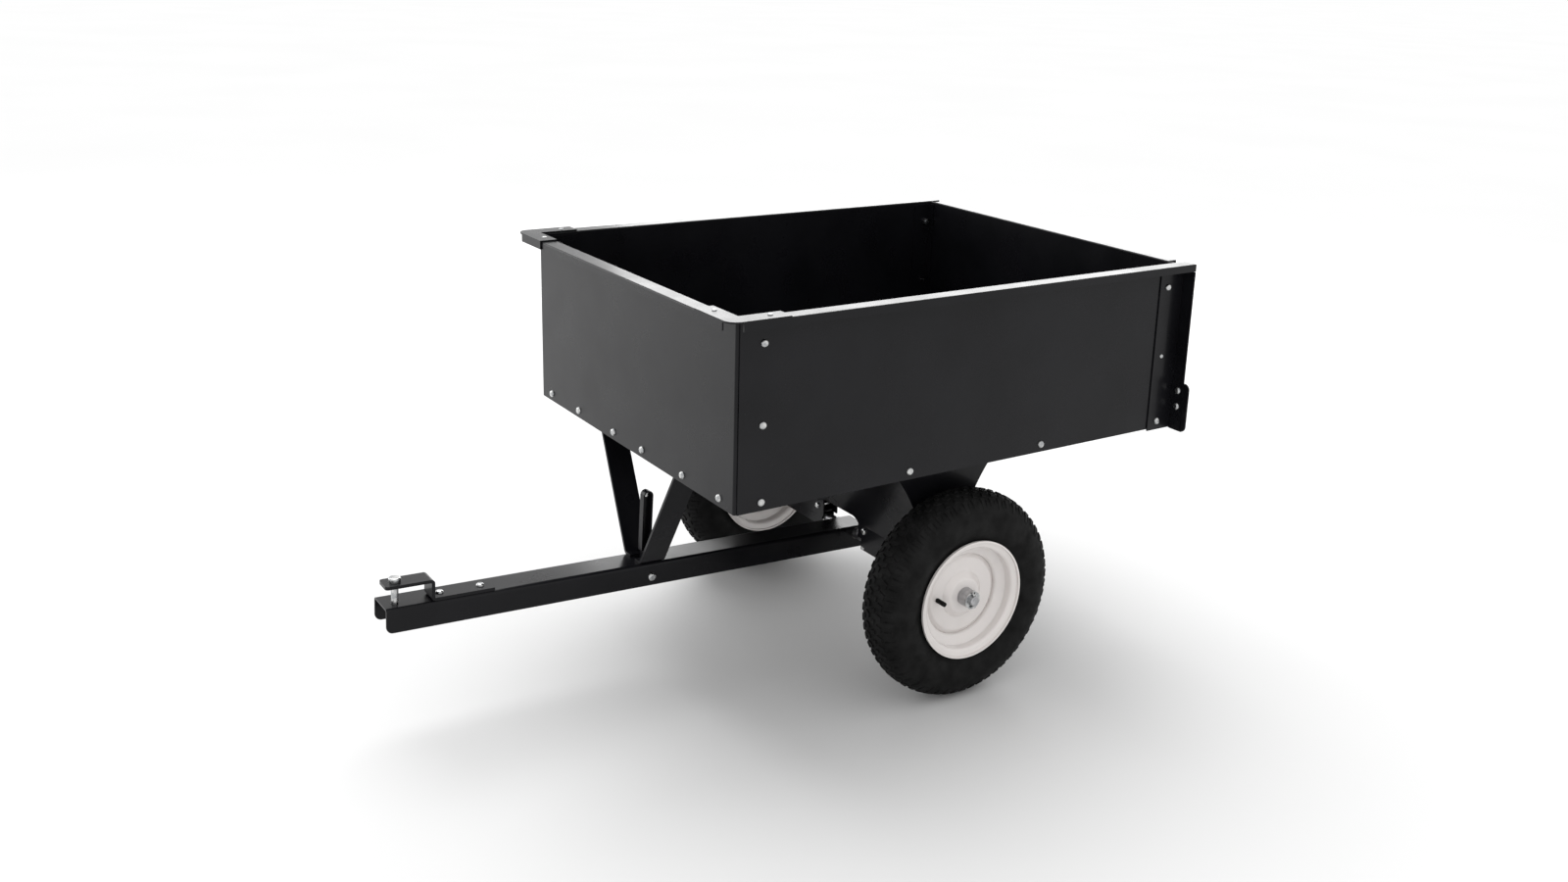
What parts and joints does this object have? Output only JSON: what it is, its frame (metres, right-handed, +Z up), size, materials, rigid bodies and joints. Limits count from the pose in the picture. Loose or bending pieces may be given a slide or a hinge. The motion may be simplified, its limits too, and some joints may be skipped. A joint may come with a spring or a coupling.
{
  "type": "tow behind cart",
  "caption": "Steel tow-behind dump cart: a tipping tray with a lift-out tailgate on a two-wheel axle, with a channel tongue, pin hitch and latch lever.",
  "frame": {"origin": "on the ground, under the middle of the outline", "axes": "+Z up, -Y towards the towing machine, X along the axle"},
  "size_m": [0.844, 1.4774, 0.79],
  "materials": {
    "black_paint": "satin powder coat",
    "wheel_paint": "gloss",
    "tyre": "matte",
    "valve_rubber": "matte",
    "bush_plastic": "matte",
    "zinc": "bright zinc plate",
    "steel": "machined"
  },
  "bodies": {
    "tongue": {"tongue_channel": "black_paint", "tongue_bushes": "bush_plastic", "axle_rod": "steel", "axle_spacers": "steel", "axle_washers": "zinc", "cotter_pins": "zinc", "hitch_strap": "black_paint", "strap_bolts": "zinc", "strap_nuts": "zinc", "pivot_bolt": "zinc", "pivot_nut": "zinc", "lever_spring": "steel"},
    "tailgate": {"tailgate": "black_paint"},
    "latch_lever": {"latch_lever": "black_paint", "lever_rivet": "zinc"},
    "hitch_pin": {"hitch_pin": "zinc"},
    "wheel_left": {"rim_outer_left": "wheel_paint", "rim_inner_left": "wheel_paint", "tyre_left": "tyre", "hub_left": "steel", "wheel_bearings_left": "steel", "valve_stem_left": "valve_rubber"},
    "wheel_right": {"rim_outer_right": "wheel_paint", "rim_inner_right": "wheel_paint", "tyre_right": "tyre", "hub_right": "steel", "wheel_bearings_right": "steel", "valve_stem_right": "valve_rubber"},
    "bed": {"axle_blocks": "black_paint", "axle_channel_left": "black_paint", "axle_channel_right": "black_paint", "axle_gusset_left": "black_paint", "axle_gusset_right": "black_paint", "axle_support_front": "black_paint", "axle_support_rear": "black_paint", "bed_floor": "black_paint", "cap_screws": "zinc", "corner_cap_left": "black_paint", "corner_cap_right": "black_paint", "cross_bolts": "zinc", "floor_bolts": "zinc", "front_guide_left": "black_paint", "front_guide_right": "black_paint", "front_panel": "black_paint", "latch_stand": "black_paint", "panel_bolts": "zinc", "pinch_screws": "zinc", "post_bolts": "zinc", "post_screws": "zinc", "rear_guide_left": "black_paint", "rear_guide_right": "black_paint", "rear_post_left": "black_paint", "rear_post_right": "black_paint", "side_panel_left": "black_paint", "side_panel_right": "black_paint", "small_nuts": "zinc", "stop_bolts": "zinc", "stop_plate_left": "black_paint", "stop_plate_right": "black_paint", "tray_nuts": "zinc"}
  },
  "joints": [
    {"name": "tray_tip", "type": "hinge", "parent": "tongue", "child": "bed", "pos_m": [0, 0.22718, 0.2], "axis": [-1, 0, 0], "range_deg": [0, 45]},
    {"name": "tailgate_lift", "type": "slide", "parent": "bed", "child": "tailgate", "axis": [0, 0, 1], "range_m": [0, 0.3]},
    {"name": "lever_pull", "type": "hinge", "parent": "tongue", "child": "latch_lever", "pos_m": [0, -0.23994, 0.20738], "axis": [1, 0, 0], "range_deg": [0, 22], "stiffness_Nm_per_rad": 1.5, "springref_deg": -17.19},
    {"name": "hitch_pin_lift", "type": "slide", "parent": "tongue", "child": "hitch_pin", "axis": [0, 0.0436, 0.999], "range_m": [0, 0.05]},
    {"name": "wheel_left_spin", "type": "hinge", "parent": "tongue", "child": "wheel_left", "pos_m": [0.3545, 0.22718, 0.2], "axis": [1, 0, 0], "continuous": true},
    {"name": "wheel_right_spin", "type": "hinge", "parent": "tongue", "child": "wheel_right", "pos_m": [-0.3545, 0.22718, 0.2], "axis": [1, 0, 0], "continuous": true}
  ]
}
